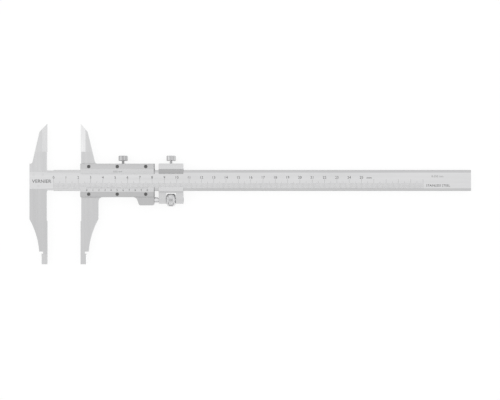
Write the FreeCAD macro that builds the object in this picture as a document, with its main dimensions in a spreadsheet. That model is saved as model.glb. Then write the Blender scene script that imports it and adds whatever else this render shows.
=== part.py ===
import FreeCAD, Part
import math
import operator
import os
import Sketcher

# Vernier caliper, 0-250 mm by 0.02 mm, with knife-edge upper jaws, nib-ended lower jaws and a
# fine-adjustment carriage.
#
# The caliper lies on its back. The origin is the centre of the beam's section in the plane of
# the fixed jaw's measuring faces: +X runs along the beam away from that jaw, +Y points to the
# knife-edge jaws and +Z points out of the graduated face. All sizes are in millimetres.

DIMENSIONS = [
    ("beam_height", 17.0, "beam section along Y"),
    ("beam_thickness", 4.0, "beam section along Z"),
    ("beam_reach", 344.3, "far end of the beam from the zero plane"),
    ("beam_edge", 0.3, "chamfer along the beam's edges"),
    ("neck_length", 5.3, "relieved stretch of the beam beside the fixed head"),
    ("neck_depth", 0.4, "relief of both edges on that stretch"),
    ("head_width", 14.3, "fixed head along X"),
    ("tenon_height", 13.8, "beam's lapped end inside the head, along Y"),
    ("tenon_thickness", 2.5, "beam's lapped end, along Z"),
    ("rivet_diameter", 2.5, "flush rivets through the lap"),
    ("rivet_inset", 3.4, "outer rivets from the head's sides"),
    ("rivet_level", 4.6, "rivets above and below the centreline"),
    ("jaw_thickness", 3.6, "all four jaws along Z"),
    ("jaw_root", 10.6, "level inside the frame where the jaw plates start"),
    ("opening", 27.2, "distance between the measuring faces"),
    ("upper_relief", 0.4, "upper jaw set back beside its measuring edge"),
    ("upper_root_width", 11.75, "sliding upper jaw's width where it leaves the frame"),
    ("upper_root_radius", 2.6, "round between sliding upper jaw and frame"),
    ("upper_root_end", 14.25, "where this round's run-out ends on the frame"),
    ("upper_tip_width", 5.6, "sliding upper jaw's width below its slanted tip"),
    ("fixed_root_width", 12.2, "fixed upper jaw's width where it leaves the head"),
    ("fixed_root_radius", 2.0, "round between fixed upper jaw and head"),
    ("fixed_tip_width", 6.2, "fixed upper jaw's width below its slanted tip"),
    ("knife_start", 23.2, "lower end of the knife edge above the centreline"),
    ("knife_width", 4.0, "width of the ground bevels of the knife edge"),
    ("knife_land", 0.5, "flat left on the knife edge"),
    ("tip_level", 46.2, "upper jaws' tips above the centreline"),
    ("tip_drop", 6.8, "height of the slanted tips"),
    ("lower_relief", 0.55, "lower jaw set back above its measuring face"),
    ("face_start", 33.0, "upper end of the lower measuring face below the centreline"),
    ("lower_width", 14.3, "lower jaw's width at its root"),
    ("shoulder_level", 57.8, "shoulder below the centreline"),
    ("hollow_radius", 62.7, "lower jaw's hollow outer edge above the shoulder"),
    ("hollow_width", 6.27, "from the measuring face to this arc, at its centre's level"),
    ("hollow_drop", 4.4, "this arc's centre below the shoulder"),
    ("nib_end", 68.1, "end of the nib below the centreline"),
    ("nib_width", 5.0, "each nib across its round face, 10 mm for the pair"),
    ("nib_radius", 4.0, "round outer face of the nib"),
    ("nib_neck", 3.3, "width left in the undercut above the nib's round face"),
    ("undercut_height", 1.8, "undercut along Y"),
    ("running_gap", 0.05, "clearance between the beam and what slides on it"),
    ("half_frame", 13.6, "slider above and below the centreline"),
    ("frame_back", 4.8, "rest plane behind the beam's mid-plane"),
    ("frame_front", 4.3, "front of the plates before the beam's mid-plane"),
    ("gib_space", 1.1, "room between the beam's upper edge and the frame"),
    ("gib_thickness", 0.8, "gib strip along Y"),
    ("gib_height", 3.4, "gib strip along Z"),
    ("gib_inset", 1.0, "gib strip's ends inside the frame's ends"),
    ("slider_length", 59.9, "slider along X"),
    ("window", 5.3, "window's edges above and below the centreline"),
    ("flange_start", 9.3, "where a plate's lip meets its flange"),
    ("upper_lip", 0.85, "upper plate's thickness at the window"),
    ("vernier_lip", 0.3, "vernier plate's thickness at the window"),
    ("plate_edge", 0.25, "chamfer along the plates' outer edges"),
    ("screw_start", 6.9, "first plate screw from the slider's measuring face"),
    ("screw_pitch", 23.1, "distance between plate screws"),
    ("screw_level", 11.2, "plate screws above and below the centreline"),
    ("screw_head", 2.7, "plate screw's head across"),
    ("screw_head_height", 1.1, "plate screw's head along Z"),
    ("screw_sink", 0.15, "plate screw's head below the plate's front"),
    ("screw_shank", 1.6, "plate screw's shank across"),
    ("screw_depth", 3.0, "plate screw's reach into the frame"),
    ("screw_slot", 0.45, "driver slot's width and depth"),
    ("screw_play", 0.05, "clearance all round a plate screw"),
    ("root_side", 5.4, "straight side that a root round is drawn into"),
    ("boss_start", 45.4, "left end of the thumb rest, from the slider's measuring face"),
    ("boss_slant", 2.3, "lean of the thumb rest's left side"),
    ("boss_bottom", 20.25, "thumb rest below the centreline"),
    ("boss_front", 4.2, "thumb rest before the beam's mid-plane"),
    ("boss_root_radius", 3.6, "round where the thumb rest meets the slider"),
    ("boss_corner_radius", 1.8, "rounds of the thumb rest's lower corners"),
    ("clamp_place", 34.4, "slider's clamp screw from the slider's measuring face"),
    ("clamp_stem", 2.4, "clamp screw's stem across"),
    ("clamp_hole", 2.5, "clamp screw's hole across"),
    ("clamp_play", 0.02, "gap between the clamp screw's end and its gib"),
    ("knob_diameter", 7.7, "clamp screw's knurled knob across"),
    ("knob_start", 15.85, "underside of the knob above the centreline"),
    ("knob_height", 4.2, "knob along Y"),
    ("knob_chamfer", 0.5, "knob's chamfers"),
    ("carriage_gap", 3.6, "gap between slider and carriage"),
    ("carriage_length", 20.0, "carriage along X"),
    ("carriage_top", 13.7, "carriage above the centreline"),
    ("carriage_lip", 0.4, "carriage's thickness at the window"),
    ("upper_bevel", 9.2, "outer edge of the upper window bevel"),
    ("lower_bevel", 8.6, "outer edge of the lower window bevel"),
    ("step_end", 10.1, "foot of the step down to the carriage's lower block"),
    ("block_front", 3.2, "lower block before the beam's mid-plane"),
    ("block_bottom", 19.0, "lower block below the centreline"),
    ("carriage_clamp_place", 9.9, "carriage's clamp screw from the carriage's left end"),
    ("carriage_edge", 0.4, "chamfer on the carriage's corners"),
    ("slot_start", 5.9, "nut slot from the carriage's left end"),
    ("slot_width", 8.1, "nut slot along X"),
    ("thread_level", 16.0, "adjusting screw's axis below the centreline"),
    ("thread_front", 0.4, "adjusting screw's axis before the beam's mid-plane"),
    ("thread_diameter", 4.8, "adjusting screw across"),
    ("thread_play", 0.05, "clearance round the adjusting screw"),
    ("thread_reach", 15.7, "adjusting screw's end from the carriage's left end"),
    ("spigot_diameter", 3.5, "adjusting screw's seat in the thumb rest across"),
    ("spigot_length", 9.0, "adjusting screw's seat in the thumb rest along X"),
    ("pin_diameter", 1.2, "cross pin of the adjusting screw"),
    ("pin_inset", 4.6, "cross pin from the slider's right end"),
    ("pin_top", 13.9, "cross pin's upper end below the centreline"),
    ("nut_diameter", 10.3, "adjusting nut across"),
    ("nut_length", 7.8, "adjusting nut along X"),
    ("nut_chamfer_length", 1.2, "nut's end cones along X"),
    ("nut_chamfer_drop", 1.3, "nut's end cones in radius"),
    ("cut_margin", 1.0, "how far a cut or a root reaches past the face it meets"),
]

# Degrees from the X axis to each plate screw's driver slot, as the screws came to rest.
SLOT_ANGLES = (25, 80, 140, 10, 115, 55)


# ---------------------------------------------------------------------------------------------
# Sizes: each one is a number and the sheet formula that gives it, so that sketches start in the
# right place and stay bound to the sheet.


class Size:
    def __init__(self, value, formula):
        self.value = value
        self.formula = formula

    def joined(self, other, sign, work):
        other = sized(other)
        return Size(work(self.value, other.value), f"({self.formula} {sign} {other.formula})")

    def __add__(self, other):
        return self.joined(other, "+", operator.add)

    def __sub__(self, other):
        return self.joined(other, "-", operator.sub)

    def __mul__(self, other):
        return self.joined(other, "*", operator.mul)

    def __truediv__(self, other):
        return self.joined(other, "/", operator.truediv)

    def __neg__(self):
        return Size(-self.value, f"(0 - {self.formula})")


def sized(number):
    return number if isinstance(number, Size) else Size(float(number), repr(float(number)))


class Sheet:
    """The document's spreadsheet, with one attribute for each driving dimension."""

    def __init__(self, document):
        self.cells = document.addObject("Spreadsheet::Sheet", "dims")
        for row, (name, value, note) in enumerate(DIMENSIONS, start=1):
            self.cells.set(f"A{row}", note)
            self.cells.set(f"B{row}", str(value))
            self.cells.setAlias(f"B{row}", name)
            setattr(self, name, Size(value, f"dims.{name}"))


doc = FreeCAD.newDocument("vernier_caliper")
size = Sheet(doc)
doc.recompute()


# ---------------------------------------------------------------------------------------------
# Bodies, sketches and features


def new_body(name, x=0, y=0, z=0):
    body = doc.addObject("PartDesign::Body", name)
    body.Label = name
    place(body, x, y, z)
    return body


def place(piece, x, y, z):
    for axis, distance in (("x", x), ("y", y), ("z", z)):
        piece.setExpression(f"Placement.Base.{axis}", sized(distance).formula)


def new_sketch(body, name, plane, level=0):
    """A sketch on one of the body's origin planes, moved out along the plane's normal."""
    sketch = body.newObject("Sketcher::SketchObject", f"{body.Name}_{name}")
    support = next(item for item in body.Origin.OriginFeatures if item.Role == plane)
    sketch.AttachmentSupport = [(support, "")]
    sketch.MapMode = "FlatFace"
    sketch.setExpression("AttachmentOffset.Base.z", sized(level).formula)
    return sketch


def bind(sketch, kind, elements, amount):
    constraint = Sketcher.Constraint(kind, *elements, sized(amount).value)
    index = sketch.addConstraint(constraint)
    sketch.setExpression(f"Constraints[{index}]", sized(amount).formula)


def bind_point(sketch, geometry, point, spot):
    bind(sketch, "DistanceX", (geometry, point), spot[0])
    bind(sketch, "DistanceY", (geometry, point), spot[1])


def vector(spot):
    return FreeCAD.Vector(sized(spot[0]).value, sized(spot[1]).value, 0)


def draw_outline(sketch, corners):
    """A closed outline. A corner is (x, y), or (x, y, radius) for one that is rounded."""
    count = len(corners)
    spots = [vector(corner) for corner in corners]
    cuts = []
    for i, corner in enumerate(corners):
        back = (spots[i - 1] - spots[i]).normalize()
        ahead = (spots[(i + 1) % count] - spots[i]).normalize()
        reach = 0.0
        if len(corner) == 3:
            reach = sized(corner[2]).value / math.tan(back.getAngle(ahead) / 2)
        cuts.append((spots[i] + back * reach, spots[i] + ahead * reach, back, ahead))
    lines = []
    for i in range(count):
        start, end = cuts[i][1], cuts[(i + 1) % count][0]
        lines.append(sketch.addGeometry(Part.LineSegment(start, end), False))
    for i, corner in enumerate(corners):
        before, after = lines[i - 1], lines[i]
        if len(corner) == 2:
            sketch.addConstraint(Sketcher.Constraint("Coincident", before, 2, after, 1))
            bind_point(sketch, after, 1, corner)
        else:
            round_corner(sketch, spots[i], cuts[i], before, after, corner)


def round_corner(sketch, spot, cut, before, after, corner):
    """An arc tangent to both lines, whose corner point stays bound to the sheet."""
    start, end, back, ahead = cut
    radius = sized(corner[2]).value
    inward = (back + ahead).normalize()
    centre = spot + inward * (radius / math.sin(back.getAngle(ahead) / 2))
    middle = centre - inward * radius
    arc = sketch.addGeometry(Part.Arc(start, middle, end), False)
    point = sketch.addGeometry(Part.Point(spot), True)
    first, last = (1, 2) if sketch.getPoint(arc, 1).isEqual(start, 1e-6) else (2, 1)
    sketch.addConstraint(Sketcher.Constraint("Tangent", before, 2, arc, first))
    sketch.addConstraint(Sketcher.Constraint("Tangent", after, 1, arc, last))
    sketch.addConstraint(Sketcher.Constraint("PointOnObject", point, 1, before))
    sketch.addConstraint(Sketcher.Constraint("PointOnObject", point, 1, after))
    bind_point(sketch, point, 1, corner)
    bind(sketch, "Radius", (arc,), corner[2])


def draw_rectangle(sketch, left, right, bottom, top):
    draw_outline(sketch, [(left, bottom), (right, bottom), (right, top), (left, top)])


def draw_circle(sketch, x, y, diameter):
    circle = Part.Circle(vector((x, y)), FreeCAD.Vector(0, 0, 1), sized(diameter).value / 2)
    geometry = sketch.addGeometry(circle, False)
    bind_point(sketch, geometry, 3, (x, y))
    bind(sketch, "Diameter", (geometry,), diameter)


def finish_feature(feature, sketch, length, reverse, both_ways):
    feature.Profile = sketch
    feature.Reversed = reverse
    feature.SideType = "Symmetric" if both_ways else "One side"
    if length is None:
        feature.Type = "ThroughAll"
    else:
        feature.setExpression("Length", sized(length).formula)
    doc.recompute()


def pad(body, sketch, length, reverse=False, both_ways=False):
    feature = body.newObject("PartDesign::Pad", f"{sketch.Name}_pad")
    finish_feature(feature, sketch, length, reverse, both_ways)
    return feature


def pocket(body, sketch, length=None, reverse=False, both_ways=False):
    """Cuts the sketch out of the body, all the way through unless a length is given."""
    whole = body.Shape.Volume
    feature = body.newObject("PartDesign::Pocket", f"{sketch.Name}_pocket")
    finish_feature(feature, sketch, length, reverse, both_ways)
    if body.Shape.Volume > whole - 1e-4:
        raise RuntimeError(f"{feature.Name} cut nothing")
    return feature


def revolve(body, sketch, axis):
    feature = body.newObject("PartDesign::Revolution", f"{sketch.Name}_turned")
    feature.Profile = sketch
    feature.ReferenceAxis = (sketch, [axis])
    doc.recompute()
    return feature


def chamfer(body, edge_names, length):
    base = body.Tip
    feature = body.newObject("PartDesign::Chamfer", f"{body.Name}_chamfer")
    feature.Base = (base, edge_names)
    feature.setExpression("Size", sized(length).formula)
    doc.recompute()


def edges_through(body, spots, tolerance=1e-3):
    """Names of the tip's straight edges that pass through the given points."""
    names = []
    for number, edge in enumerate(body.Tip.Shape.Edges, start=1):
        for spot in spots:
            near = Part.Vertex(FreeCAD.Vector(*[sized(part).value for part in spot]))
            if edge.distToShape(near)[0] < tolerance:
                names.append(f"Edge{number}")
                break
    return names


# ---------------------------------------------------------------------------------------------
# Levels that several pieces share

rail_top = size.beam_thickness / 2 + size.running_gap
channel_floor = size.beam_height / 2 + size.running_gap
channel_roof = size.beam_height / 2 + size.gib_space
half_jaw = size.jaw_thickness / 2
lap_level = size.beam_thickness / 2 - size.tenon_thickness
gib_outside = channel_floor + size.gib_thickness
slider_end = size.opening + size.slider_length
carriage_start = slider_end + size.carriage_gap
screw_places = [size.screw_start + size.screw_pitch * number for number in range(3)]
rivet_spots = [
    (-(size.head_width - size.rivet_inset), size.rivet_level),
    (-size.rivet_inset, size.rivet_level),
    (-(size.head_width / 2), -size.rivet_level),
]


# ---------------------------------------------------------------------------------------------
# Beam and fixed head


def make_beam():
    body = new_body("beam")
    half_height = size.beam_height / 2
    half_thickness = size.beam_thickness / 2
    section = new_sketch(body, "section", "YZ_Plane")
    draw_rectangle(section, -half_height, half_height, -half_thickness, half_thickness)
    pad(body, section, size.beam_reach)
    corners = [
        (size.beam_reach / 2, side * half_height.value, face * half_thickness.value)
        for side in (1, -1)
        for face in (1, -1)
    ]
    chamfer(body, edges_through(body, corners), size.beam_edge)
    tenon = new_sketch(body, "tenon", "YZ_Plane")
    half_tenon = size.tenon_height / 2
    draw_rectangle(tenon, -half_tenon, half_tenon, lap_level, half_thickness)
    pad(body, tenon, size.head_width, reverse=True)
    necks = new_sketch(body, "necks", "XY_Plane")
    cut_level = half_height - size.neck_depth
    cut_end = half_height + size.cut_margin
    draw_rectangle(necks, 0, size.neck_length, cut_level, cut_end)
    draw_rectangle(necks, 0, size.neck_length, -cut_end, -cut_level)
    pocket(body, necks, both_ways=True)
    holes = new_sketch(body, "rivet_holes", "XY_Plane")
    for x, y in rivet_spots:
        draw_circle(holes, x, y, size.rivet_diameter)
    pocket(body, holes, both_ways=True)


def add_lower_jaw(body, side):
    """Jaw plate, hollow outer edge and nib. The jaw lies on the given side of its face."""
    plate = new_sketch(body, "lower_jaw", "XY_Plane")
    corners = [
        (size.lower_relief, -size.jaw_root),
        (size.lower_relief, -size.face_start),
        (0, -size.face_start),
        (0, -size.shoulder_level),
        (size.lower_width, -size.shoulder_level),
        (size.lower_width, -size.jaw_root),
    ]
    draw_outline(plate, [(sized(x) * side, y) for x, y in corners])
    pad(body, plate, size.jaw_thickness, both_ways=True)
    hollow = new_sketch(body, "hollow_edge", "XY_Plane")
    centre = (size.hollow_width + size.hollow_radius) * side
    level = -(size.shoulder_level + size.hollow_drop)
    draw_circle(hollow, centre, level, size.hollow_radius * 2)
    pocket(body, hollow, both_ways=True)

    nib_length = size.nib_end - size.shoulder_level
    nib = new_sketch(body, "nib", "XZ_Plane", size.shoulder_level)
    draw_outline(
        nib,
        [
            (0, -half_jaw),
            (size.nib_width * side, -half_jaw),
            (size.nib_width * side, half_jaw),
            (0, half_jaw),
        ],
    )
    pad(body, nib, nib_length)
    rounding = new_sketch(body, "nib_rounding", "XZ_Plane", size.shoulder_level)
    reach = size.nib_radius * 2
    draw_rectangle(rounding, -reach, reach, -reach, reach)
    draw_circle(rounding, (size.nib_width - size.nib_radius) * side, 0, size.nib_radius * 2)
    pocket(body, rounding, nib_length, reverse=True)
    undercut = new_sketch(body, "undercut", "XY_Plane")
    bottom = -(size.shoulder_level + size.undercut_height)
    draw_outline(
        undercut,
        [
            (size.nib_neck * side, bottom),
            (size.nib_width * 2 * side, bottom),
            (size.nib_width * 2 * side, -size.shoulder_level),
            (size.nib_neck * side, -size.shoulder_level),
        ],
    )
    pocket(body, undercut, both_ways=True)


def add_upper_jaw(body, side, tip_width, root_width, root_radius, root_end):
    """Jaw plate with its slanted tip, and the two bevels that form the knife edge."""
    plate = new_sketch(body, "upper_jaw", "XY_Plane")
    corners = [
        (size.upper_relief, size.jaw_root),
        (size.upper_relief, size.knife_start),
        (0, size.knife_start),
        (0, size.tip_level),
        (tip_width, size.tip_level - size.tip_drop),
        (root_width, size.half_frame, root_radius),
        (root_end, size.half_frame),
        (root_end, size.jaw_root),
    ]
    draw_outline(plate, [(sized(x) * side, y, *rest) for x, y, *rest in corners])
    pad(body, plate, size.jaw_thickness, both_ways=True)
    bevels = new_sketch(body, "knife_bevels", "XZ_Plane", -size.knife_start)
    outside = half_jaw + size.cut_margin
    for face in (1, -1):
        corners = [
            (0, size.knife_land / 2),
            (size.knife_width, half_jaw),
            (size.knife_width, outside),
            (-size.cut_margin, outside),
            (-size.cut_margin, size.knife_land / 2),
        ]
        draw_outline(bevels, [(sized(x) * side, z * face) for x, z in corners])
    pocket(body, bevels, size.tip_level - size.knife_start + size.cut_margin)


def make_fixed_jaw():
    body = new_body("fixed_jaw")
    add_lower_jaw(body, -1)
    half_height = size.beam_height / 2
    block = new_sketch(body, "head", "XY_Plane")
    corners = [
        (-size.head_width, -size.half_frame),
        (-size.lower_relief, -size.half_frame),
        (-size.lower_relief, -half_height),
        (0, -half_height),
        (0, half_height),
        (-size.upper_relief, half_height),
        (-size.upper_relief, size.half_frame),
        (-size.head_width, size.half_frame),
    ]
    draw_outline(block, corners)
    pad(body, block, size.jaw_thickness, both_ways=True)
    add_upper_jaw(
        body,
        -1,
        size.fixed_tip_width,
        size.fixed_root_width,
        size.fixed_root_radius,
        size.head_width,
    )
    lap = new_sketch(body, "lap", "XY_Plane", lap_level)
    half_tenon = size.tenon_height / 2
    lap_end = size.head_width + size.cut_margin
    draw_rectangle(lap, -lap_end, size.cut_margin, -half_tenon, half_tenon)
    pocket(body, lap, size.jaw_thickness, reverse=True)
    holes = new_sketch(body, "rivet_holes", "XY_Plane")
    for x, y in rivet_spots:
        draw_circle(holes, x, y, size.rivet_diameter)
    pocket(body, holes, both_ways=True)


def make_rivets():
    for number, (x, y) in enumerate(rivet_spots, start=1):
        rivet = doc.addObject("Part::Cylinder", f"head_rivet_{number}")
        rivet.Label = rivet.Name
        rivet.setExpression("Radius", (size.rivet_diameter / 2).formula)
        rivet.setExpression("Height", (half_jaw + size.beam_thickness / 2).formula)
        place(rivet, x, y, -half_jaw)


# ---------------------------------------------------------------------------------------------
# Slider


def make_sliding_jaw():
    """Slider frame with its two jaws. The beam runs in a channel that the plates close."""
    body = new_body("sliding_jaw", size.opening)
    add_lower_jaw(body, 1)
    frame = new_sketch(body, "frame", "YZ_Plane")
    corners = [
        (-size.half_frame, -size.frame_back),
        (size.half_frame, -size.frame_back),
        (size.half_frame, rail_top),
        (channel_roof, rail_top),
        (channel_roof, -rail_top),
        (-channel_floor, -rail_top),
        (-channel_floor, rail_top),
        (-size.half_frame, rail_top),
    ]
    draw_outline(frame, corners)
    pad(body, frame, size.slider_length)
    add_upper_jaw(
        body,
        1,
        size.upper_tip_width,
        size.upper_root_width,
        size.upper_root_radius,
        size.upper_root_end,
    )

    boss = new_sketch(body, "thumb_rest", "XY_Plane", -size.frame_back)
    foot = size.boss_start + size.boss_slant
    corners = [
        (size.boss_start, -size.half_frame, size.boss_root_radius),
        (foot, -size.boss_bottom, size.boss_corner_radius),
        (size.slider_length, -size.boss_bottom, size.boss_corner_radius),
        (size.slider_length, -size.half_frame),
        (size.boss_start - size.root_side, -size.half_frame),
    ]
    draw_outline(boss, corners)
    pad(body, boss, size.frame_back + size.boss_front)
    root = new_sketch(body, "jaw_root", "XY_Plane")
    root_left = size.lower_width - size.cut_margin
    root_right = size.lower_width + size.root_side
    root_top = -(size.half_frame - size.cut_margin)
    root_bottom = -(size.half_frame + size.root_side)
    corners = [
        (size.lower_width, -size.half_frame, size.boss_root_radius),
        (size.lower_width, root_bottom),
        (root_left, root_bottom),
        (root_left, root_top),
        (root_right, root_top),
        (root_right, -size.half_frame),
    ]
    draw_outline(root, corners)
    pad(body, root, size.jaw_thickness, both_ways=True)

    screws = new_sketch(body, "plate_screw_holes", "XY_Plane", rail_top)
    for x in screw_places:
        for level in (size.screw_level, -size.screw_level):
            draw_circle(screws, x, level, size.screw_shank + size.screw_play * 2)
    pocket(body, screws, size.screw_depth + size.screw_play)
    clamp = new_sketch(body, "clamp_hole", "XZ_Plane", -size.half_frame)
    draw_circle(clamp, size.clamp_place, 0, size.clamp_hole)
    pocket(body, clamp, size.half_frame - gib_outside, reverse=True)
    seat = new_sketch(body, "screw_seat", "YZ_Plane", size.slider_length)
    draw_circle(seat, -size.thread_level, size.thread_front, size.spigot_diameter)
    pocket(body, seat, size.spigot_length)
    pin = new_sketch(body, "pin_hole", "XZ_Plane", size.boss_bottom)
    pin_place = size.slider_length - size.pin_inset
    draw_circle(pin, pin_place, size.thread_front, size.pin_diameter)
    pocket(body, pin, size.boss_bottom - size.pin_top)


def make_plate(name, side, lip):
    """One of the two front plates: a flat flange and a lip that slopes down to the window."""
    body = new_body(name, size.opening)
    section = new_sketch(body, "section", "YZ_Plane")
    corners = [
        (size.window, rail_top),
        (size.half_frame, rail_top),
        (size.half_frame, size.frame_front),
        (size.flange_start, size.frame_front),
        (size.window, rail_top + lip),
    ]
    draw_outline(section, [(y * side, z) for y, z in corners])
    pad(body, section, size.slider_length)
    outer = size.half_frame * side
    spots = [(size.slider_length / 2, outer, size.frame_front)]
    spots += [(x, size.screw_level * side, size.frame_front) for x in (0, size.slider_length)]
    chamfer(body, edges_through(body, spots), size.plate_edge)
    holes = new_sketch(body, "screw_holes", "XY_Plane", rail_top)
    sinks = new_sketch(body, "head_seats", "XY_Plane", size.frame_front)
    for x in screw_places:
        draw_circle(holes, x, size.screw_level * side, size.screw_shank + size.screw_play * 2)
        draw_circle(sinks, x, size.screw_level * side, size.screw_head + size.screw_play * 2)
    pocket(body, holes, reverse=True)
    pocket(body, sinks, size.screw_head_height + size.screw_sink)


def make_plate_screw(number, x, y):
    """A slotted cheese-head screw, turned about Z."""
    head_top = size.frame_front - size.screw_sink
    head_bottom = head_top - size.screw_head_height
    body = new_body(f"plate_screw_{number}", size.opening + x, y)
    slot_angle = SLOT_ANGLES[number - 1]
    body.Placement.Rotation = FreeCAD.Rotation(FreeCAD.Vector(0, 0, 1), slot_angle)
    profile = new_sketch(body, "profile", "XZ_Plane")
    corners = [
        (0, rail_top - size.screw_depth),
        (size.screw_shank / 2, rail_top - size.screw_depth),
        (size.screw_shank / 2, head_bottom),
        (size.screw_head / 2, head_bottom),
        (size.screw_head / 2, head_top),
        (0, head_top),
    ]
    draw_outline(profile, corners)
    revolve(body, profile, "V_Axis")
    slot = new_sketch(body, "driver_slot", "XY_Plane", head_top)
    half_slot = size.screw_slot / 2
    draw_rectangle(slot, -size.screw_head, size.screw_head, -half_slot, half_slot)
    pocket(body, slot, size.screw_slot)


def make_gib(name, x, length):
    gib = doc.addObject("Part::Box", name)
    gib.Label = name
    gib.setExpression("Length", (length - size.gib_inset * 2).formula)
    gib.setExpression("Width", size.gib_thickness.formula)
    gib.setExpression("Height", size.gib_height.formula)
    place(gib, x + size.gib_inset, channel_floor, -(size.gib_height / 2))


def make_clamp_screw(name, x):
    """A screw with a knurled knob, turned about Y, whose end presses on a gib."""
    body = new_body(name, x)
    profile = new_sketch(body, "profile", "XY_Plane")
    radius = size.knob_diameter / 2
    knob_end = size.knob_start + size.knob_height
    stem_end = gib_outside + size.clamp_play
    corners = [
        (0, stem_end),
        (size.clamp_stem / 2, stem_end),
        (size.clamp_stem / 2, size.knob_start),
        (radius - size.knob_chamfer, size.knob_start),
        (radius, size.knob_start + size.knob_chamfer),
        (radius, knob_end - size.knob_chamfer),
        (radius - size.knob_chamfer, knob_end),
        (0, knob_end),
    ]
    draw_outline(profile, corners)
    revolve(body, profile, "V_Axis")


def make_adjusting_screw():
    """The fixed screw of the fine adjustment, turned about X, with its seat in the slider."""
    body = new_body("adjusting_screw", slider_end, -size.thread_level, size.thread_front)
    profile = new_sketch(body, "profile", "XY_Plane")
    end = size.carriage_gap + size.thread_reach
    radius = size.thread_diameter / 2
    nose = size.thread_diameter / 8
    corners = [
        (-size.spigot_length, 0),
        (-size.spigot_length, size.spigot_diameter / 2),
        (0, size.spigot_diameter / 2),
        (0, radius),
        (end - nose, radius),
        (end, radius - nose),
        (end, 0),
    ]
    draw_outline(profile, corners)
    revolve(body, profile, "H_Axis")
    hole = new_sketch(body, "pin_hole", "XZ_Plane")
    draw_circle(hole, -size.pin_inset, 0, size.pin_diameter)
    pocket(body, hole, both_ways=True)


def make_adjusting_pin():
    pin = doc.addObject("Part::Cylinder", "adjusting_screw_pin")
    pin.Label = pin.Name
    pin.Placement.Rotation = FreeCAD.Rotation(FreeCAD.Vector(1, 0, 0), -90)
    pin.setExpression("Radius", (size.pin_diameter / 2).formula)
    pin.setExpression("Height", (size.boss_bottom - size.pin_top).formula)
    place(pin, slider_end - size.pin_inset, -size.boss_bottom, size.thread_front)


# ---------------------------------------------------------------------------------------------
# Fine-adjustment carriage


def make_carriage():
    body = new_body("carriage", carriage_start)
    section = new_sketch(body, "section", "YZ_Plane")
    lip_front = rail_top + size.carriage_lip
    corners = [
        (size.carriage_top, -size.frame_back),
        (size.carriage_top, size.frame_front),
        (size.upper_bevel, size.frame_front),
        (size.window, lip_front),
        (size.window, rail_top),
        (channel_roof, rail_top),
        (channel_roof, -rail_top),
        (-channel_floor, -rail_top),
        (-channel_floor, rail_top),
        (-size.window, rail_top),
        (-size.window, lip_front),
        (-size.lower_bevel, size.frame_front),
        (-size.step_end, size.block_front),
        (-size.block_bottom, size.block_front),
        (-size.block_bottom, -size.frame_back),
    ]
    draw_outline(section, corners)
    pad(body, section, size.carriage_length)
    spots = [
        (x, y, 0)
        for x in (0, size.carriage_length)
        for y in (size.carriage_top, -size.block_bottom)
    ]
    chamfer(body, edges_through(body, spots), size.carriage_edge)
    slot = new_sketch(body, "nut_slot", "XY_Plane")
    slot_end = size.slot_start + size.slot_width
    slot_bottom = -(size.block_bottom + size.cut_margin)
    draw_rectangle(slot, size.slot_start, slot_end, slot_bottom, -size.step_end)
    pocket(body, slot, both_ways=True)
    bore = new_sketch(body, "screw_hole", "YZ_Plane")
    hole_size = size.thread_diameter + size.thread_play * 2
    draw_circle(bore, -size.thread_level, size.thread_front, hole_size)
    pocket(body, bore, reverse=True)
    clamp = new_sketch(body, "clamp_hole", "XZ_Plane", -size.carriage_top)
    draw_circle(clamp, size.carriage_clamp_place, 0, size.clamp_hole)
    pocket(body, clamp, size.carriage_top - gib_outside, reverse=True)


def make_adjusting_nut():
    """The nut in the carriage's slot, turned about X, with a cone at each end."""
    side_play = (size.slot_width - size.nut_length) / 2
    start = carriage_start + size.slot_start + side_play
    body = new_body("adjusting_nut", start, -size.thread_level, size.thread_front)
    profile = new_sketch(body, "profile", "XY_Plane")
    bore = size.thread_diameter / 2 + size.thread_play
    radius = size.nut_diameter / 2
    corners = [
        (0, bore),
        (0, radius - size.nut_chamfer_drop),
        (size.nut_chamfer_length, radius),
        (size.nut_length - size.nut_chamfer_length, radius),
        (size.nut_length, radius - size.nut_chamfer_drop),
        (size.nut_length, bore),
    ]
    draw_outline(profile, corners)
    revolve(body, profile, "H_Axis")


# ---------------------------------------------------------------------------------------------
# The whole caliper


def make_caliper():
    make_beam()
    make_fixed_jaw()
    make_rivets()
    make_sliding_jaw()
    make_plate("upper_plate", 1, size.upper_lip)
    make_plate("vernier_plate", -1, size.vernier_lip)
    number = 0
    for level in (size.screw_level, -size.screw_level):
        for x in screw_places:
            number += 1
            make_plate_screw(number, x, level)
    make_gib("slider_gib", size.opening, size.slider_length)
    make_clamp_screw("slider_clamp_screw", size.opening + size.clamp_place)
    make_adjusting_screw()
    make_adjusting_pin()
    make_carriage()
    make_gib("carriage_gib", carriage_start, size.carriage_length)
    make_clamp_screw("carriage_clamp_screw", carriage_start + size.carriage_clamp_place)
    make_adjusting_nut()
    doc.recompute()


def check_objects():
    for item in doc.Objects:
        if {"Invalid", "Error"} & set(item.State):
            raise RuntimeError(f"{item.Name} failed: {item.State}")


def export_pieces():
    pieces = [item for item in doc.Objects if item.TypeId in ("PartDesign::Body", "Part::Box")]
    pieces += [item for item in doc.Objects if item.TypeId == "Part::Cylinder"]
    for piece in pieces:
        shape = piece.Shape
        if shape.isNull() or not shape.isValid() or len(shape.Solids) != 1:
            raise RuntimeError(f"{piece.Label} has no single valid solid")
    os.makedirs("parts", exist_ok=True)
    for piece in pieces:
        piece.Shape.exportStep(f"parts/{piece.Label}.step")
        print(f"{piece.Label:24s} {piece.Shape.Volume:10.2f} mm3")


make_caliper()
check_objects()
export_pieces()
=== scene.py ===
import math

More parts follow.
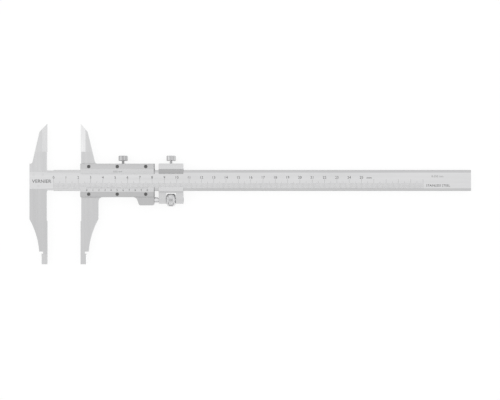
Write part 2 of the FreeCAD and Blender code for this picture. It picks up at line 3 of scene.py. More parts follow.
import bmesh
import bpy
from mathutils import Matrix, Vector


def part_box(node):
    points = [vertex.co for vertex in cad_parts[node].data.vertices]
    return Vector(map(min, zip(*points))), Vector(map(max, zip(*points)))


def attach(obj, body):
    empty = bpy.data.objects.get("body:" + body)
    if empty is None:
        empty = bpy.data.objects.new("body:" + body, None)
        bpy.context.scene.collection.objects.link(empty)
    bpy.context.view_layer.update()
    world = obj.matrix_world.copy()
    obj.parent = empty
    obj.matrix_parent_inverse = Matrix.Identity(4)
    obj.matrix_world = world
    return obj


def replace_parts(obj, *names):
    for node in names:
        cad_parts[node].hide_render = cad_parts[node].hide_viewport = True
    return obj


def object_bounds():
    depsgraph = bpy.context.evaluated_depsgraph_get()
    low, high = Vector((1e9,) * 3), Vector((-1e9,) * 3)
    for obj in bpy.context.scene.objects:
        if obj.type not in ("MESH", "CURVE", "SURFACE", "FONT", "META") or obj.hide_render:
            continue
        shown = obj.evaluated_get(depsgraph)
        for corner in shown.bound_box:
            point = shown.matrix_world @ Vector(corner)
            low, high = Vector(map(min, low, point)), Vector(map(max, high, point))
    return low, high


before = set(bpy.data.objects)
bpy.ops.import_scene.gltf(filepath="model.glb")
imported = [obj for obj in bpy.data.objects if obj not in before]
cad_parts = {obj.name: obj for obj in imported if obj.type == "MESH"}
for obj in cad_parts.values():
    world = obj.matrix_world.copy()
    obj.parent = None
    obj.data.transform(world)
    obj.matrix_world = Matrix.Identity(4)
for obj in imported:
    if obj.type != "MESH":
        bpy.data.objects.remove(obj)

cad_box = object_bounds()

# The caliper lies on its back: +X along the beam, +Y towards the knife-edge jaws, +Z out of the
# graduated face. Lengths below are in millimetres and become metres where meshes are made.
MM = 0.001


def in_mm(node):
    """Lowest and highest corner of a CAD node, in millimetres."""
    low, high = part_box(node)
    return low / MM, high / MM


BEAM_HIGH = in_mm("beam")[1]
SLIDER_LOW, SLIDER_HIGH = in_mm("sliding_jaw")
VERNIER_LOW, VERNIER_HIGH = in_mm("vernier_plate")
UPPER_LOW, UPPER_HIGH = in_mm("upper_plate")
KNOB_LOW, KNOB_HIGH = in_mm("slider_clamp_screw")
NUT_LOW, NUT_HIGH = in_mm("adjusting_nut")

# Scales and lettering
INLAY = 0.012               # height of the filled graduations above the metal
LINE = 0.10                 # width of a graduation line
ZERO_OFFSET = 5.32          # scale zero from the measuring faces' plane
SCALE_END = 300             # last millimetre mark
NUMBERED_TO = 25            # last numbered centimetre
MARK_FOOT = -6.6            # lower end of the beam's marks
CENTIMETRE_TOP = 1.1        # and their upper ends
HALF_TOP = -0.9
MILLIMETRE_TOP = -2.1
NUMBERS_LEVEL = 2.35        # middle of the beam's numbers
NUMBERS_HEIGHT = 2.2
VERNIER_PARTS = 50
VERNIER_STEP = 49 / 50
VERNIER_FOOT = -6.6         # lower end of the vernier's marks
VERNIER_LONG_FOOT = -7.0    # and of its numbered marks
VERNIER_NUMBERS_LEVEL = -7.95
VERNIER_NUMBERS_HEIGHT = 1.6

# Levels on the plates and the carriage, from the beam's centreline
GUIDE_BAND = 6.35           # where the beam's ground guide bands start
LIP_EDGE = 5.3              # window edge of both plates
FLANGE_EDGE = 9.3           # where a plate's lip meets its flange
UPPER_LIP = 0.85            # upper plate's thickness at the window
VERNIER_LIP = 0.3           # vernier plate's thickness at the window
HEAD_EDGE = 13.6            # the head's and the slider's outer edges
KNIFE_START = 23.2          # where the knife edges begin
NIB_START = -60.0           # and the nibs' rounded sides
NIB_FLAT = 4.35             # width of a nib's flat front
STEP_START = 8.6            # the step down to the carriage's lower block
STEP_END = 10.1
UPPER_BEVEL = 9.2           # outer edge of the carriage's upper window bevel
REST_START = 64.0           # the thumb rest lies right of this, along the beam
END_SHADE_WIDTH = 0.2              # width of the painted shade on the slider's right end
TONE_MARGIN = 0.1           # keeps a change of tone off the side faces that lie at its level

# Turned pieces
STEM_RADIUS = 1.2           # clamp screws
NECK_RADIUS = 1.0           # plain neck between the knob and the thread
NECK_LENGTH = 2.7
KNOB_RADIUS = (KNOB_HIGH.x - KNOB_LOW.x) / 2
KNOB_HEIGHT = 4.2
KNOB_CHAMFER = 0.5
DIMPLE_DEPTH = 0.3          # in the middle of the knob's top
CLAMP_PITCH = 0.45
FLUTES = 8
FLUTE_RADIUS = 0.75
FLUTE_OFFSET = 0.22         # how far a flute's own centre lies outside the knob
FLUTE_SHADE_REACH = 2.9            # the painted shade deep in the flutes reaches this far from the axis
FLUTE_SHADE_END = 3.8              # and the outer tone starts here
SPIGOT_RADIUS = 1.75        # adjusting screw's seat in the slider
SHANK_LENGTH = 2.9          # its plain shank beside the slider
GROOVE_LENGTH = 0.5         # and the run-out groove where the thread starts
FINE_PITCH = 0.5
NUT_BORE = 2.45
NUT_TRIM = 0.25             # off each end of the CAD nut, for a gap that shows in the slot
NUT_CONE = 1.2              # end cones reach this far from the CAD nut's ends
NUT_CONE_DROP = 1.3         # and come down by this much
KNURL_START = 2.25          # the knurled band begins this far from those ends
KNURL_RIM = 0.15            # run-out groove beside it, and the step up to the rim
KNURLS = 36
KNURL_DEPTH = 0.26


# ---------------------------------------------------------------------------------------------
# Materials


class Nodes:
    """A node tree with short ways to add and link nodes."""

    def __init__(self, tree):
        self.tree = tree

    def add(self, kind, **settings):
        node = self.tree.nodes.new(kind)
        for name, value in settings.items():
            setattr(node, name, value)
        return node

    def feed(self, target, value):
        """Sets an input to a number or a colour, or links another node's output to it."""
        if isinstance(value, bpy.types.NodeSocket):
            self.tree.links.new(value, target)
        else:
            target.default_value = value

    def math(self, operation, *values, clamp=False):
        node = self.add("ShaderNodeMath", operation=operation, use_clamp=clamp)
        for target, value in zip(node.inputs, values):
            self.feed(target, value)
        return node.outputs[0]

    def ramp(self, source, start, end, low, high, shape="LINEAR"):
        """Goes from low to high as the source goes from start to end, and stays there."""
        node = self.add("ShaderNodeMapRange", interpolation_type=shape)
        for name, value in (
            ("Value", source),
            ("From Min", start),
            ("From Max", end),
            ("To Min", low),
            ("To Max", high),
        ):
            self.feed(node.inputs[name], value)
        return node.outputs[0]

    def blend(self, share, first, second):
        """The first number where the share is 0, the second where it is 1."""
        node = self.add("ShaderNodeMix", data_type="FLOAT")
        for place, value in ((0, share), (2, first), (3, second)):
            self.feed(node.inputs[place], value)
        return node.outputs[0]

    def split(self, source):
        node = self.add("ShaderNodeSeparateXYZ")
        self.feed(node.inputs[0], source)
        return node.outputs

    def place(self):
        """The point's place in the object, in metres."""
        return self.add("ShaderNodeTexCoord").outputs["Object"]

    def noise(self, scale, detail=2.0):
        """Noise over the object, with 1/scale metres to a cell along each axis."""
        mapping = self.add("ShaderNodeMapping")
        self.feed(mapping.inputs["Vector"], self.place())
        self.feed(mapping.inputs["Scale"], scale)
        texture = self.add("ShaderNodeTexNoise")
        self.feed(texture.inputs["Vector"], mapping.outputs[0])
        self.feed(texture.inputs["Scale"], 1.0)
        self.feed(texture.inputs["Detail"], detail)
        return texture.outputs["Fac"]

    def spread(self, source, low, high):
        """Maps 0.3..0.7, where noise mostly lies, to low..high."""
        return self.ramp(source, 0.3, 0.7, low, high)

    def tinted(self, source, tint):
        """A colour of the given tint whose brightness is the source."""
        node = self.add("ShaderNodeVectorMath", operation="SCALE")
        self.feed(node.inputs[0], tint)
        self.feed(node.inputs["Scale"], source)
        return node.outputs[0]


class Surface(Nodes):
    """A new material with its Principled shader's inputs."""

    def __init__(self, name):
        self.material = bpy.data.materials.new(name)
        self.material.use_nodes = True
        super().__init__(self.material.node_tree)
        self.inputs = self.tree.nodes["Principled BSDF"].inputs

    def relief(self, height, strength):
        bump = self.add("ShaderNodeBump")
        self.feed(bump.inputs["Height"], height)
        self.feed(bump.inputs["Strength"], strength)
        self.feed(bump.inputs["Distance"], 0.1 * MM)
        self.feed(self.inputs["Normal"], bump.outputs[0])


STEEL_TINT = (1.0, 1.0, 1.008)
BRONZE_TINT = (0.62, 0.45, 0.25)
GREY_TINT = (1.0, 1.0, 1.0)


def ground_steel(name, tone, roughness, grain="X", streak=0.025):
    """Steel ground along one axis. tone is a number, or a function that makes it from nodes."""
    made = Surface(name)
    fine = {"X": (60.0, 1800.0, 1800.0), "Y": (1800.0, 60.0, 1800.0)}[grain]
    broad = {"X": (12.0, 420.0, 420.0), "Y": (420.0, 12.0, 420.0)}[grain]
    lines = made.noise(fine, detail=3.0)
    clouds = made.noise((28.0, 28.0, 28.0), detail=3.0)
    streaks = made.spread(made.noise(broad), 1 - streak, 1 + streak)
    patches = made.spread(clouds, 1 - streak / 2, 1 + streak / 2)
    level = tone(made) if callable(tone) else tone
    brightness = made.math("MULTIPLY", made.math("MULTIPLY", streaks, patches), level)
    made.feed(made.inputs["Base Color"], made.tinted(brightness, STEEL_TINT))
    made.feed(made.inputs["Metallic"], 1.0)
    handled = made.spread(clouds, -0.02, 0.02)
    brushed = made.spread(lines, roughness - 0.05, roughness + 0.05)
    made.feed(made.inputs["Roughness"], made.math("ADD", brushed, handled))
    made.relief(lines, 0.02)
    return made.material


def by_level(axis, edges, tones):
    """A tone for each stretch between the given edges, in millimetres along one axis."""

    def tone(made):
        place = made.split(made.place())[axis]
        level = tones[0]
        for edge, after in zip(edges, tones[1:]):
            passed = made.math("GREATER_THAN", place, edge * MM)
            level = made.blend(passed, level, after)
        return level

    return tone


def beam_tone(made):
    """The head's lapped end is satin all over. The beam has darker ground bands along its edges,
    partly their own finish and partly a painted reflection, their tone falling from 27 to 130 mm
    along the beam.
    """
    along, across = made.split(made.place())[:2]
    band = made.ramp(along, 27 * MM, 130 * MM, 0.625, 0.555)
    in_band = made.math("GREATER_THAN", made.math("ABSOLUTE", across), GUIDE_BAND * MM)
    beside_head = made.math("GREATER_THAN", along, 0.0)
    return made.blend(beside_head, 0.69, made.blend(in_band, 0.69, band))


def end_darkened(tone):
    """The given tone, with painted shade on the slider's right end above the thumb rest."""

    def darkened(made):
        along, across = made.split(made.place())[:2]
        beyond = made.math("GREATER_THAN", along, (SLIDER_HIGH.x - END_SHADE_WIDTH) * MM)
        above = made.math("GREATER_THAN", across, -(HEAD_EDGE + TONE_MARGIN) * MM)
        # Painted shade: tone 0.1 on the strip at the right end
        return made.blend(made.math("MULTIPLY", beyond, above), tone(made), 0.1)

    return darkened


def nib_polished(tone, face):
    """The given tone, with a painted highlight on the nib's rounded side, away from the measuring
    face.
    """

    def polished(made):
        along, across = made.split(made.place())[:2]
        away = made.math("ABSOLUTE", made.math("SUBTRACT", along, face * MM))
        outside = made.math("GREATER_THAN", away, NIB_FLAT * MM)
        below = made.math("LESS_THAN", across, NIB_START * MM)
        # Painted highlight: tone 0.9 on the nib's rounded side
        return made.blend(made.math("MULTIPLY", outside, below), tone(made), 0.9)

    return polished


def slider_tone(made):
    """Darkest on the thumb rest, then the lower jaw, whose darker tone is painted shade; the upper
    jaw is lighter with painted light, brightest round the knife edge as a painted highlight.
    """
    lower = by_level(0, (REST_START,), (0.58, 0.505))(made)
    across = made.split(made.place())[1]
    above = made.math("GREATER_THAN", across, -(HEAD_EDGE + TONE_MARGIN) * MM)
    upper = by_level(1, (KNIFE_START,), (0.615, 0.64))(made)
    return made.blend(above, lower, upper)


def by_depth(axis, centre, start, end, deep, outer):
    """A tone that goes from deep to outer with the distance from an axis, in millimetres, used as
    painted shade in recesses.
    """

    def tone(made):
        away = made.add("ShaderNodeVectorMath", operation="SUBTRACT")
        made.feed(away.inputs[0], made.place())
        made.feed(away.inputs[1], centre * MM)
        across = made.add("ShaderNodeVectorMath", operation="MULTIPLY")
        made.feed(across.inputs[0], away.outputs[0])
        made.feed(across.inputs[1], Vector((1, 1, 1)) - axis)
        length = made.add("ShaderNodeVectorMath", operation="LENGTH")
        made.feed(length.inputs[0], across.outputs[0])
        return made.ramp(length.outputs["Value"], start * MM, end * MM, deep, outer)

    return tone


def black_oxide():
    made = Surface("black_oxide")
    worn = made.noise((900.0, 900.0, 900.0), detail=4.0)
    made.feed(made.inputs["Base Color"], made.tinted(made.spread(worn, 0.10, 0.16), GREY_TINT))
    made.feed(made.inputs["Metallic"], 0.7)
    made.feed(made.inputs["Roughness"], made.spread(worn, 0.3, 0.5))
    made.relief(worn, 0.1)
    return made.material


def mark_paint(name, tone):
    made = Surface(name)
    grit = made.noise((2500.0, 2500.0, 2500.0))
    level = made.spread(grit, tone * 0.7, tone * 1.3)
    made.feed(made.inputs["Base Color"], made.tinted(level, GREY_TINT))
    made.feed(made.inputs["Roughness"], made.spread(grit, 0.5, 0.7))
    return made.material


def bright_chrome(name, tone, roughness):
    """Bright metal. tone is a number, or a function that makes it from nodes."""
    made = Surface(name)
    haze = made.noise((500.0, 500.0, 500.0), detail=3.0)
    level = tone(made) if callable(tone) else tone
    level = made.math("MULTIPLY", made.spread(haze, 0.94, 1.0), level)
    made.feed(made.inputs["Base Color"], made.tinted(level, STEEL_TINT))
    made.feed(made.inputs["Metallic"], 1.0)
    made.feed(made.inputs["Roughness"], made.spread(haze, roughness * 0.7, roughness * 1.3))
    return made.material


def rolled_bronze():
    made = Surface("rolled_bronze")
    lines = made.noise((40.0, 1500.0, 1500.0), detail=3.0)
    made.feed(made.inputs["Base Color"], made.tinted(made.spread(lines, 0.8, 1.0), BRONZE_TINT))
    made.feed(made.inputs["Metallic"], 1.0)
    made.feed(made.inputs["Roughness"], made.spread(lines, 0.3, 0.45))
    made.relief(lines, 0.03)
    return made.material


def paint(piece, material):
    piece.data.materials.clear()
    piece.data.materials.append(material)


# ---------------------------------------------------------------------------------------------
# Meshes


def new_piece(name, mesh, body, material):
    piece = bpy.data.objects.new(name, mesh)
    bpy.context.scene.collection.objects.link(piece)
    paint(piece, material)
    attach(piece, body)
    return piece


def mesh_from(work, name):
    """Turns the work into a mesh of closed skins that all face outwards."""
    bmesh.ops.remove_doubles(work, verts=work.verts, dist=0.0001 * MM)
    bmesh.ops.recalc_face_normals(work, faces=work.faces)
    mesh = bpy.data.meshes.new(name)
    work.to_mesh(mesh)
    work.free()
    return mesh


def break_edges(node, width):
    """Rounds a CAD node's sharp edges a little, as a stone leaves them."""
    for face in node.data.polygons:
        face.use_smooth = True
    weld = node.modifiers.new("weld", "WELD")
    weld.merge_threshold = 0.001 * MM
    flat = node.modifiers.new("flat_faces", "DECIMATE")
    flat.decimate_type = "DISSOLVE"
    flat.angle_limit = math.radians(0.5)
    bevel = node.modifiers.new("broken_edges", "BEVEL")
    bevel.width = width * MM
    bevel.segments = 2
    bevel.limit_method = "ANGLE"
    bevel.angle_limit = math.radians(17)
    node.modifiers.new("even_normals", "WEIGHTED_NORMAL")


def add_bar(work, left, right, bottom, top, surface):
    """A thin closed bar whose underside is just under the surface and whose top is just over it."""
    spots = [(left, bottom), (right, bottom), (right, top), (left, top)]
    low = [work.verts.new(Vector((x, y, surface(y) - INLAY)) * MM) for x, y in spots]
    high = [work.verts.new(Vector((x, y, surface(y) + INLAY)) * MM) for x, y in spots]
    work.faces.new(low[::-1])
    work.faces.new(high)
    for i in range(4):
        j = (i + 1) % 4
        work.faces.new((low[i], low[j], high[j], high[i]))


def add_text(work, words, x, y, height, surface, stretch=1.0):
    """Filled lettering with its middle at (x, y), laid on the surface."""
    curve = bpy.data.curves.new("lettering", "FONT")
    curve.body = words
    curve.align_x = "CENTER"
    curve.align_y = "CENTER"
    curve.size = height / 0.73
    curve.extrude = INLAY
    curve.resolution_u = 4
    holder = bpy.data.objects.new("lettering", curve)
    bpy.context.scene.collection.objects.link(holder)
    bpy.context.view_layer.update()
    shown = holder.evaluated_get(bpy.context.evaluated_depsgraph_get())
    mesh = bpy.data.meshes.new_from_object(shown)
    for vertex in mesh.vertices:
        level = vertex.co.y + y
        across = vertex.co.x * stretch + x
        vertex.co = Vector((across, level, vertex.co.z + surface(level))) * MM
    work.from_mesh(mesh)
    bpy.data.objects.remove(holder)
    bpy.data.curves.remove(curve)
    bpy.data.meshes.remove(mesh)


def add_turned(work, rings, count, spot, hollow=False):
    """A closed skin of rings round an axis. A ring is its place along the axis and its radius.

    The radius is a number, or a function of the angle in turns. spot(along, angle, radius)
    gives a point. A hollow skin joins its last ring to its first, others get a cap at each end.
    """
    loops = []
    for along, radius in rings:
        loop = []
        for i in range(count):
            turn = i / count
            reach = radius(turn) if callable(radius) else radius
            loop.append(work.verts.new(spot(along, turn * math.tau, reach) * MM))
        loops.append(loop)
    pairs = list(zip(loops, loops[1:]))
    if hollow:
        pairs.append((loops[-1], loops[0]))
    for near, far in pairs:
        for i in range(count):
            j = (i + 1) % count
            work.faces.new((near[i], near[j], far[j], far[i]))
    if not hollow:
        work.faces.new(loops[0])
        work.faces.new(loops[-1][::-1])


def turned_piece(work, name, body, material, node):
    """Makes the piece that stands for a CAD node, smooth but for its real edges."""
    mesh = mesh_from(work, name)
    for face in mesh.polygons:
        face.use_smooth = True
    mesh.set_sharp_from_angle(angle=math.radians(32))
    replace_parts(new_piece(name, mesh, body, material), node)


def thread(pitch, radius, along):
    """Radius of a rounded V thread at a place along the axis, as a function of the turn."""
    depth = pitch * 0.6

    def at(turn):
        share = (along / pitch - turn) % 1.0
        return radius - depth * min(1.0, abs(2 * share - 1) * 1.25)

    return at


def thread_rings(pitch, radius, start, end):
    """Eight rings to each turn of the thread, between two places on its axis."""
    count = round((end - start) / pitch * 8)
    places = [start + (end - start) * i / count for i in range(count + 1)]
    return [(place, thread(pitch, radius, place)) for place in places]


# ---------------------------------------------------------------------------------------------
# Scales and lettering


def beam_face(y):
    return BEAM_HIGH.z


def vernier_face(y):
    """The vernier plate's lip, which rises from the window's edge to the flange."""
    edge = VERNIER_LOW.z + VERNIER_LIP
    return edge + (-y - LIP_EDGE) * (VERNIER_HIGH.z - edge) / (FLANGE_EDGE - LIP_EDGE)


def upper_face(y):
    """The upper plate's lip, which rises the same way on the other side."""
    edge = UPPER_LOW.z + UPPER_LIP
    return edge + (y - LIP_EDGE) * (UPPER_HIGH.z - edge) / (FLANGE_EDGE - LIP_EDGE)


def make_main_scale(material):
    marks = bmesh.new()
    for number in range(SCALE_END + 1):
        top = MILLIMETRE_TOP
        if number % 5 == 0:
            top = HALF_TOP
        if number % 10 == 0:
            top = CENTIMETRE_TOP
        x = ZERO_OFFSET + number
        add_bar(marks, x - LINE / 2, x + LINE / 2, MARK_FOOT, top, beam_face)
    mesh = mesh_from(marks, "main_scale_marks")
    new_piece("main_scale_marks", mesh, "beam", material)
    numbers = bmesh.new()
    for number in range(NUMBERED_TO + 1):
        x = ZERO_OFFSET + 10 * number
        add_text(numbers, str(number), x, NUMBERS_LEVEL, NUMBERS_HEIGHT, beam_face)
    add_text(numbers, "mm", ZERO_OFFSET + 10 * NUMBERED_TO + 6.2, 2.2, 2.0, beam_face)
    mesh = mesh_from(numbers, "main_scale_numbers")
    new_piece("main_scale_numbers", mesh, "beam", material)


def make_vernier(material):
    zero = SLIDER_LOW.x + ZERO_OFFSET
    marks = bmesh.new()
    numbers = bmesh.new()
    for part in range(VERNIER_PARTS + 1):
        x = zero + part * VERNIER_STEP
        numbered = part % 5 == 0
        foot = VERNIER_LONG_FOOT if numbered else VERNIER_FOOT
        add_bar(marks, x - LINE / 2, x + LINE / 2, foot, -LIP_EDGE, vernier_face)
        if numbered:
            digit = str(part // 5 % 10)
            add_text(
                numbers, digit, x, VERNIER_NUMBERS_LEVEL, VERNIER_NUMBERS_HEIGHT, vernier_face
            )
    for work, name in ((marks, "vernier_marks"), (numbers, "vernier_numbers")):
        new_piece(name, mesh_from(work, name), "slider", material)


def make_lettering(dark, faint):
    head = bmesh.new()
    add_text(head, "VERNIER", -4.4, -0.8, 2.8, beam_face, stretch=1.05)
    mesh = mesh_from(head, "head_lettering")
    new_piece("head_lettering", mesh, "beam", dark)
    end = bmesh.new()
    add_text(end, "0-250 mm", 317.0, 3.3, 1.7, beam_face)
    mesh = mesh_from(end, "range_lettering")
    new_piece("range_lettering", mesh, "beam", faint)
    steel = bmesh.new()
    add_text(steel, "STAINLESS STEEL", 317.5, -4.2, 1.9, beam_face)
    mesh = mesh_from(steel, "steel_lettering")
    new_piece("steel_lettering", mesh, "beam", dark)
    slider = bmesh.new()
    add_text(slider, "0.02 mm", 57.6, 7.1, 1.5, upper_face)
    mesh = mesh_from(slider, "plate_lettering")
    new_piece("plate_lettering", mesh, "slider", faint)


# ---------------------------------------------------------------------------------------------
# Turned pieces


def fluted(radius):
    """Radius of a round body with straight flutes, as a function of the turn."""

    def at(turn):
        angle = ((turn * FLUTES + 0.5) % 1.0 - 0.5) * math.tau / FLUTES
        centre = KNOB_RADIUS + FLUTE_OFFSET
        across = FLUTE_RADIUS**2 - (centre * math.sin(angle)) ** 2
        if across <= 0:
            return radius
        return min(radius, centre * math.cos(angle) - math.sqrt(across))

    return at


def make_clamp_screw(name, node, body, start_turn, deep, outer):
    """A fluted knob on a threaded stem, along Y, with painted shade deep in its flutes and on the
    stem, and an outer tone outside.
    """
    low, high = in_mm(node)
    x, z = (low.x + high.x) / 2, (low.z + high.z) / 2
    top, bottom = high.y, high.y - KNOB_HEIGHT
    neck_start = bottom - NECK_LENGTH

    def spot(along, angle, radius):
        angle += start_turn * math.tau
        return Vector((x + radius * math.sin(angle), along, z + radius * math.cos(angle)))

    rim = KNOB_RADIUS - KNOB_CHAMFER
    knob = [
        (top - DIMPLE_DEPTH, KNOB_RADIUS * 0.3),
        (top - DIMPLE_DEPTH, KNOB_RADIUS * 0.5),
        (top, KNOB_RADIUS * 0.58),
        (top, fluted(rim)),
        (top - KNOB_CHAMFER, fluted(KNOB_RADIUS)),
        (bottom + KNOB_CHAMFER, fluted(KNOB_RADIUS)),
        (bottom, fluted(rim)),
        (bottom, NECK_RADIUS * 0.9),
    ]
    work = bmesh.new()
    add_turned(work, knob, FLUTES * 20, spot)
    stem = [
        (low.y, STEM_RADIUS * 0.6),
        *thread_rings(CLAMP_PITCH, STEM_RADIUS, low.y + 0.4, neck_start - 0.1),
        (neck_start, NECK_RADIUS),
        (bottom + 0.2, NECK_RADIUS),
    ]
    add_turned(work, stem, 48, spot)
    centre = Vector((x, 0, z))
    # Painted shade: dark near the axis, in the flutes and on the threaded stem
    tones = by_depth(Vector((0, 1, 0)), centre, FLUTE_SHADE_REACH, FLUTE_SHADE_END, deep, outer)
    turned_piece(work, name, body, bright_chrome(name, tones, 0.2), node)


def make_adjusting_screw(material):
    """Seat, plain shank, run-out groove and thread, along X. The cross pin sits in the seat."""
    low, high = in_mm("adjusting_screw")
    radius = (high.y - low.y) / 2
    y, z = (low.y + high.y) / 2, (low.z + high.z) / 2
    shank_start = SLIDER_HIGH.x
    shank_end = shank_start + SHANK_LENGTH
    thread_start = shank_end + GROOVE_LENGTH
    root = radius * 0.82

    def spot(along, angle, reach):
        return Vector((along, y + reach * math.cos(angle), z + reach * math.sin(angle)))

    rings = [
        (low.x, SPIGOT_RADIUS - 0.2),
        (low.x + 0.2, SPIGOT_RADIUS),
        (shank_start, SPIGOT_RADIUS),
        (shank_start, radius - 0.15),
        (shank_start + 0.15, radius),
        (shank_end - 0.1, radius),
        (shank_end, root),
        (thread_start, root),
        *thread_rings(FINE_PITCH, radius, thread_start + 0.1, high.x - 0.5),
        (high.x, root * 0.85),
    ]
    work = bmesh.new()
    add_turned(work, rings, 48, spot)
    turned_piece(
        work, "threaded_adjusting_screw", "slider", material, "adjusting_screw"
    )


def make_nut(material):
    """The adjusting nut: end cones, smooth rims and a diamond-knurled band between them."""
    low, high = NUT_LOW, NUT_HIGH
    radius = (high.y - low.y) / 2
    y, z = (low.y + high.y) / 2, (low.z + high.z) / 2
    slant = math.tau * radius / KNURLS / math.tan(math.radians(30))
    band_start, band_end = low.x + KNURL_START, high.x - KNURL_START
    base = radius - KNURL_DEPTH

    def spot(along, angle, reach):
        return Vector((along, y + reach * math.cos(angle), z + reach * math.sin(angle)))

    def knurled(along):
        def at(turn):
            grooves = (turn * KNURLS + along / slant, turn * KNURLS - along / slant)
            height = min(abs(2 * (groove % 1.0) - 1) for groove in grooves)
            return base + KNURL_DEPTH * min(1.0, height * 1.15)

        return at

    steps = 36
    places = [band_start + (band_end - band_start) * i / steps for i in range(steps + 1)]
    rings = [
        (low.x + NUT_TRIM, NUT_BORE),
        (low.x + NUT_TRIM, radius - NUT_CONE_DROP),
        (low.x + NUT_CONE, radius),
        (band_start - 2 * KNURL_RIM, radius),
        (band_start - KNURL_RIM, base),
        *[(place, knurled(place)) for place in places],
        (band_end + KNURL_RIM, base),
        (band_end + 2 * KNURL_RIM, radius),
        (high.x - NUT_CONE, radius),
        (high.x - NUT_TRIM, radius - NUT_CONE_DROP),
        (high.x - NUT_TRIM, NUT_BORE),
    ]
    work = bmesh.new()
    add_turned(work, rings, KNURLS * 8, spot, hollow=True)
    turned_piece(work, "knurled_nut", "adjusting_nut", material, "adjusting_nut")


# ---------------------------------------------------------------------------------------------
# The scene. Lengths here are in metres.

FLOOR_RADIUS = 4.0
FLOOR_SIDES = 96
CAMERA_DISTANCE = 1.2       # above the beam's face
CAMERA_FIELD = 0.406        # width of what it sees there

def make_floor():
    """A wide pale floor, bright enough that the caliper throws no hard shadow on it."""
    mesh = bpy.data.meshes.new("floor")
    centre = Vector((0.165, 0, cad_box[0].z))
    angles = [math.tau * i / FLOOR_SIDES for i in range(FLOOR_SIDES)]
    spokes = [Vector((math.cos(angle), math.sin(angle), 0)) for angle in angles]
    rim = [centre + FLOOR_RADIUS * spoke for spoke in spokes]
    mesh.from_pydata(rim, [], [list(range(FLOOR_SIDES))])
    floor = bpy.data.objects.new("floor", mesh)
    bpy.context.scene.collection.objects.link(floor)
    made = Surface("pale_floor")
    seen = made.add("ShaderNodeLightPath").outputs["Is Camera Ray"]
    made.feed(made.inputs["Base Color"], made.tinted(made.blend(seen, 0.25, 0.16), GREY_TINT))
    made.feed(made.inputs["Roughness"], 0.9)
    made.feed(made.inputs["Specular IOR Level"], 0.1)
    made.feed(made.inputs["Emission Color"], (1, 1, 1, 1))
    made.feed(made.inputs["Emission Strength"], made.blend(seen, 0.9, 0.86))
    paint(floor, made.material)


def make_light():
    """Even soft light from all round, stronger from both sides, with a dark flag below."""
    world = bpy.data.worlds.new("studio")
    bpy.context.scene.world = world
    world.use_nodes = True
    made = Nodes(world.node_tree)
    x, y, z = made.split(made.add("ShaderNodeTexCoord").outputs["Generated"])
    # Brighter from left and right, and slightly so from the left and from above
    level = made.math("MULTIPLY_ADD", made.math("MULTIPLY", x, x), 0.58, 1.0)
    level = made.math("MULTIPLY_ADD", x, -0.07, level)
    level = made.math("MULTIPLY_ADD", y, 0.05, level)
    # The flag is a dark band low down, which shows in the slanted faces
    flag = made.ramp(y, -0.66, -0.8, 0.0, -0.4, "SMOOTHSTEP")
    past = made.ramp(y, -0.84, -0.94, 0.0, 0.4, "SMOOTHSTEP")
    level = made.math("ADD", level, made.math("ADD", flag, past))
    # Dimmer in the four corners and near the horizon
    corner = made.math("MULTIPLY", made.math("ABSOLUTE", x), made.math("ABSOLUTE", y))
    level = made.math("MULTIPLY", level, made.ramp(corner, 0.15, 0.35, 1.0, 0.55, "SMOOTHSTEP"))
    level = made.math("MULTIPLY", level, made.ramp(z, 0.5, 0.15, 1.0, 0.55, "SMOOTHSTEP"))
    # The camera itself sees plain white
    seen = made.add("ShaderNodeLightPath").outputs["Is Camera Ray"]
    background = world.node_tree.nodes["Background"]
    made.feed(background.inputs["Color"], (1, 1, 1, 1))
    made.feed(background.inputs["Strength"], made.blend(seen, level, 1.0))


def make_camera():
    """Square on to the graduated face, from above its middle."""
    camera = bpy.data.cameras.new("camera")
    camera.sensor_width = 36.0
    camera.lens = camera.sensor_width * CAMERA_DISTANCE / CAMERA_FIELD
    camera.clip_start = 0.01
    holder = bpy.data.objects.new("camera", camera)
    holder.location = (0.1648, -0.0159, BEAM_HIGH.z * MM + CAMERA_DISTANCE)
    bpy.context.scene.collection.objects.link(holder)
    bpy.context.scene.camera = holder
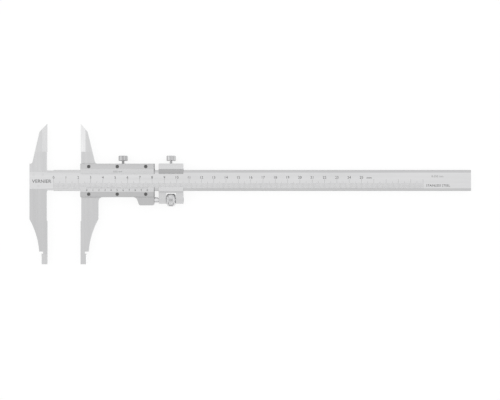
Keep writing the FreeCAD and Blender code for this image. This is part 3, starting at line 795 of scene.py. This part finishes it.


# Tones from one stretch to the next, in the order of the edges between them
# Painted light and shade on the plates: the upper plate's lip lighter than its flange, the vernier
# plate's flange darker than its lip, as light falls on their slopes
upper_plate_shading = by_level(1, (FLANGE_EDGE,), (0.70, 0.565))
vernier_plate_shading = by_level(1, (-FLANGE_EDGE,), (0.505, 0.67))
# Painted light and shade on the carriage: lighter on the step down to the lower block, darker on the
# upper window bevel, as light falls on them
carriage_shading = by_level(
    1,
    (-STEP_END, -STEP_START, LIP_EDGE, UPPER_BEVEL),
    (0.617, 0.79, 0.685, 0.61, 0.67),
)
# Fixed jaw: painted shade on the lower jaw, the nibs a little lighter, painted light on the upper
# jaw and a painted highlight on the knife edges
fixed_jaw_shading = by_level(1, (NIB_START, 0.0, KNIFE_START), (0.595, 0.565, 0.625, 0.645))
# The slider's tones with its painted shade, painted light and painted highlights
frame_shading = nib_polished(end_darkened(slider_tone), SLIDER_LOW.x)
# Painted shade: the nut's end cones a little darker than its middle
nut_cone_shade = by_level(0, (NUT_LOW.x + NUT_CONE, NUT_HIGH.x - NUT_CONE), (0.68, 0.71, 0.68))

beam_steel = ground_steel("beam_satin_chrome", beam_tone, 0.32)
jaw_steel = ground_steel("jaw_ground_steel", nib_polished(fixed_jaw_shading, 0.0), 0.30, grain="Y")
frame_steel = ground_steel("frame_ground_steel", frame_shading, 0.30, grain="Y")
# The plates' right ends carry the same painted shade as the slider's end
upper_steel = ground_steel("upper_plate_steel", end_darkened(upper_plate_shading), 0.30)
vernier_steel = ground_steel("vernier_plate_steel", end_darkened(vernier_plate_shading), 0.30)
carriage_steel = ground_steel("carriage_steel", carriage_shading, 0.22)
rivet_steel = ground_steel("rivet_steel", 0.66, 0.32)
nut_chrome = bright_chrome("nut_chrome", nut_cone_shade, 0.2)
screw_steel = bright_chrome("screw_steel", 0.745, 0.2)
black = black_oxide()
bronze = rolled_bronze()
dark_paint = mark_paint("dark_mark_paint", 0.035)
faint_paint = mark_paint("faint_mark_paint", 0.28)

finishes = {
    "beam": beam_steel,
    "fixed_jaw": jaw_steel,
    "sliding_jaw": frame_steel,
    "upper_plate": upper_steel,
    "vernier_plate": vernier_steel,
    "slider_gib": bronze,
    "carriage_gib": bronze,
    "adjusting_screw_pin": rivet_steel,
    "carriage": carriage_steel,
}
for name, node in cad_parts.items():
    if name.startswith("plate_screw"):
        paint(node, black)
    elif name.startswith("head_rivet"):
        paint(node, rivet_steel)
    elif name in finishes:
        paint(node, finishes[name])

for name in ("fixed_jaw", "sliding_jaw", "upper_plate", "vernier_plate", "carriage"):
    break_edges(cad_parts[name], 0.12)

make_main_scale(dark_paint)
make_vernier(dark_paint)
make_lettering(dark_paint, faint_paint)
# Each knob gets its painted shade in the flutes, then its outer tone
make_clamp_screw("slider_clamp_knob", "slider_clamp_screw", "slider_clamp", 0.0, 0.28, 0.50)
make_clamp_screw("carriage_clamp_knob", "carriage_clamp_screw", "carriage_clamp", -0.028, 0.38, 0.56)
make_adjusting_screw(screw_steel)
make_nut(nut_chrome)
make_floor()
make_light()
make_camera()
bpy.context.scene.view_settings.view_transform = "Standard"
